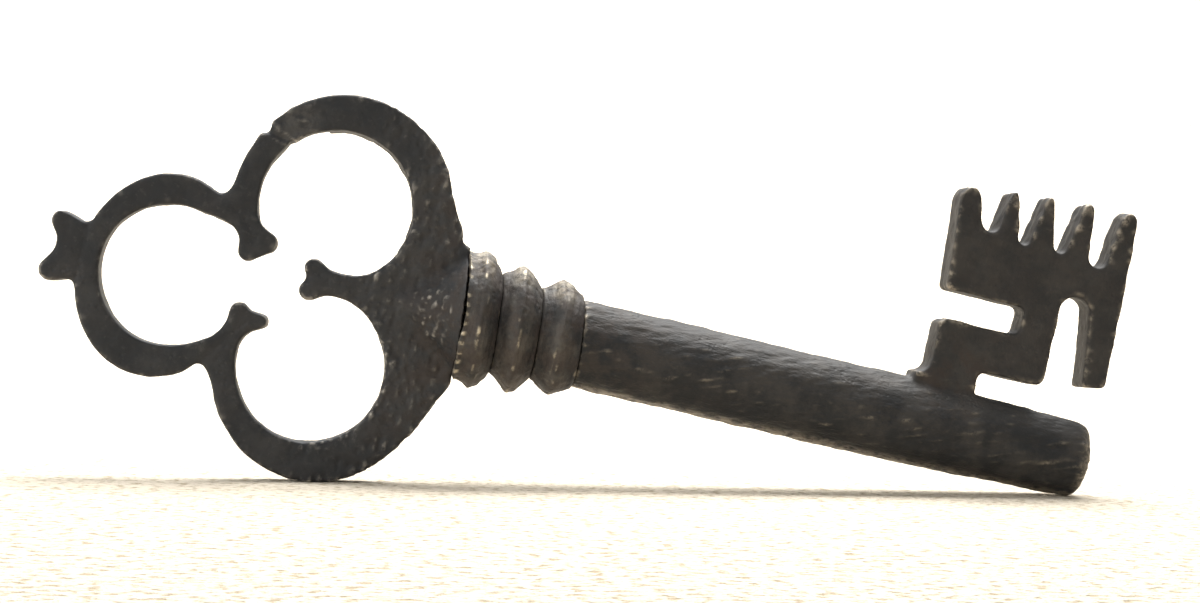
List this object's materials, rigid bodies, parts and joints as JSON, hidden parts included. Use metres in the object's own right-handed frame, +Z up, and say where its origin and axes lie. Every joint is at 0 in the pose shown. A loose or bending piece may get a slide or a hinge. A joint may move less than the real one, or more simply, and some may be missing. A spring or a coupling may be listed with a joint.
{
  "type": "casket key",
  "caption": "Forged iron casket key with an open trefoil bow, beaded collar rings, a hollow round stem and a toothed, warded bit.",
  "frame": {"origin": "middle of the underside of the object's box, on the surface the key stands on edge on", "axes": "+X along the key from the bow to the bit, +Y through its thickness to the back, +Z up; the stem falls towards the bit by 11.57 degrees"},
  "size_m": [0.1218, 0.0154, 0.0423],
  "materials": {
    "stem_iron": "dark oxidised iron, filed along the stem, worn lighter along its upper side",
    "bit_iron": "dark oxidised iron with file marks and rounded, worn edges",
    "collar_iron": "dark oxidised iron, rough round the beads and bright on their crests",
    "bow_iron": "near-black oxidised iron, hammered and pitted, with thin bright rims"
  },
  "bodies": {
    "root": {"stem_barrel": "stem_iron", "bit_plate": "bit_iron", "collar_ring_stem": "collar_iron", "collar_ring_middle": "collar_iron", "collar_ring_bow": "collar_iron", "bow_root": "bow_iron", "upper_lobe_bar": "bow_iron", "upper_cusp_bar": "bow_iron", "outer_lobe_bar": "bow_iron", "lower_lobe_bar": "bow_iron", "bow_finial": "bow_iron"}
  },
  "joints": []
}
